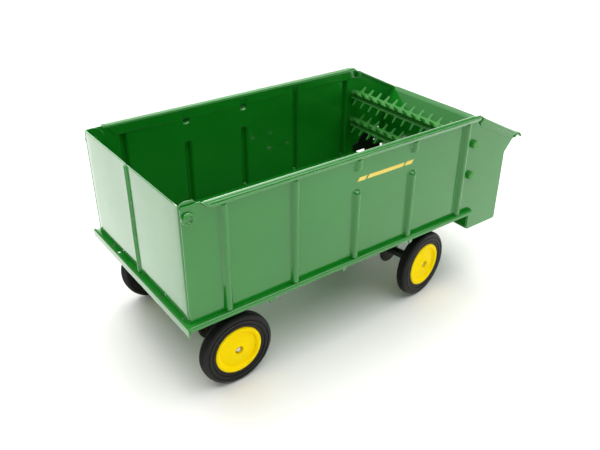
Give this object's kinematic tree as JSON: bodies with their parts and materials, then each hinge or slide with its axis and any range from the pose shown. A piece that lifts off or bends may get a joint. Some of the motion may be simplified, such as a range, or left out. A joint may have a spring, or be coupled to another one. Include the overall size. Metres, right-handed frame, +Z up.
{
  "type": "toy forage wagon",
  "caption": "Pressed-steel toy farm wagon with a ribbed open box, hinged tailgate, two toothed beaters, a cross trough, steered front gear and rubber-tyred wheels.",
  "frame": {"origin": "centre of the whole wagon's footprint, on the ground", "axes": "+X towards the discharge end and the tongue, +Y to the wagon's left side, +Z up"},
  "size_m": [0.321, 0.143, 0.1414],
  "materials": {
    "green_enamel": "gloss",
    "green_nylon": "satin",
    "black_enamel": "gloss",
    "black_plastic": "satin",
    "bare_steel": "satin",
    "plated_steel": "satin",
    "tyre_rubber": "satin",
    "yellow_hub": "gloss"
  },
  "bodies": {
    "box": {"bed_pan": "green_enamel", "side_panel_right": "green_enamel", "side_panel_left": "green_enamel", "front_panel": "green_enamel", "trough_pan": "green_enamel", "outlet_plate": "black_enamel", "tailgate_rivets": "green_enamel", "rear_axle_bracket": "black_enamel", "rear_bracket_rivets": "plated_steel", "rear_axle": "bare_steel", "rear_spacers": "black_plastic", "front_pedestal": "black_enamel", "front_pedestal_rivets": "plated_steel", "kingpin": "plated_steel"},
    "tailgate": {"tailgate": "green_enamel"},
    "beater_upper": {"beater_upper": "green_nylon"},
    "beater_lower": {"beater_lower": "green_nylon"},
    "front_gear": {"front_axle_carrier": "black_enamel", "front_axle": "bare_steel", "front_spacers": "black_plastic", "tongue_pin": "plated_steel"},
    "tongue": {"tongue": "black_enamel"},
    "wheel_rear_right": {"tyre_rear_right": "tyre_rubber", "hub_rear_right": "yellow_hub"},
    "wheel_rear_left": {"tyre_rear_left": "tyre_rubber", "hub_rear_left": "yellow_hub"},
    "wheel_front_right": {"tyre_front_right": "tyre_rubber", "hub_front_right": "yellow_hub"},
    "wheel_front_left": {"tyre_front_left": "tyre_rubber", "hub_front_left": "yellow_hub"}
  },
  "joints": [
    {"name": "tailgate_hinge", "type": "hinge", "parent": "box", "child": "tailgate", "pos_m": [-0.1531, 0, 0.132], "axis": [0, 1, 0], "range_deg": [0, 80]},
    {"name": "beater_upper_spin", "type": "hinge", "parent": "box", "child": "beater_upper", "pos_m": [0.0742, 0, 0.1175], "axis": [0, 1, 0], "continuous": true},
    {"name": "beater_lower_spin", "type": "hinge", "parent": "box", "child": "beater_lower", "pos_m": [0.0742, 0, 0.0932], "axis": [0, 1, 0], "continuous": true},
    {"name": "steering", "type": "hinge", "parent": "box", "child": "front_gear", "pos_m": [0.0316, 0, 0.045], "axis": [0, 0, 1], "range_deg": [-37.4, 18.6]},
    {"name": "tongue_hinge", "type": "hinge", "parent": "front_gear", "child": "tongue", "pos_m": [0.05231, 0.00343, 0.027], "axis": [0.1633, -0.9866, 0], "range_deg": [0, 25]},
    {"name": "wheel_rear_right_spin", "type": "hinge", "parent": "box", "child": "wheel_rear_right", "pos_m": [-0.1237, -0.0585, 0.0254], "axis": [0, 1, 0], "continuous": true},
    {"name": "wheel_rear_left_spin", "type": "hinge", "parent": "box", "child": "wheel_rear_left", "pos_m": [-0.1237, 0.0585, 0.0254], "axis": [0, 1, 0], "continuous": true},
    {"name": "wheel_front_right_spin", "type": "hinge", "parent": "front_gear", "child": "wheel_front_right", "pos_m": [0.04115, -0.05771, 0.0254], "axis": [-0.1633, 0.9866, 0], "continuous": true},
    {"name": "wheel_front_left_spin", "type": "hinge", "parent": "front_gear", "child": "wheel_front_left", "pos_m": [0.02204, 0.05771, 0.0254], "axis": [-0.1633, 0.9866, 0], "continuous": true}
  ]
}
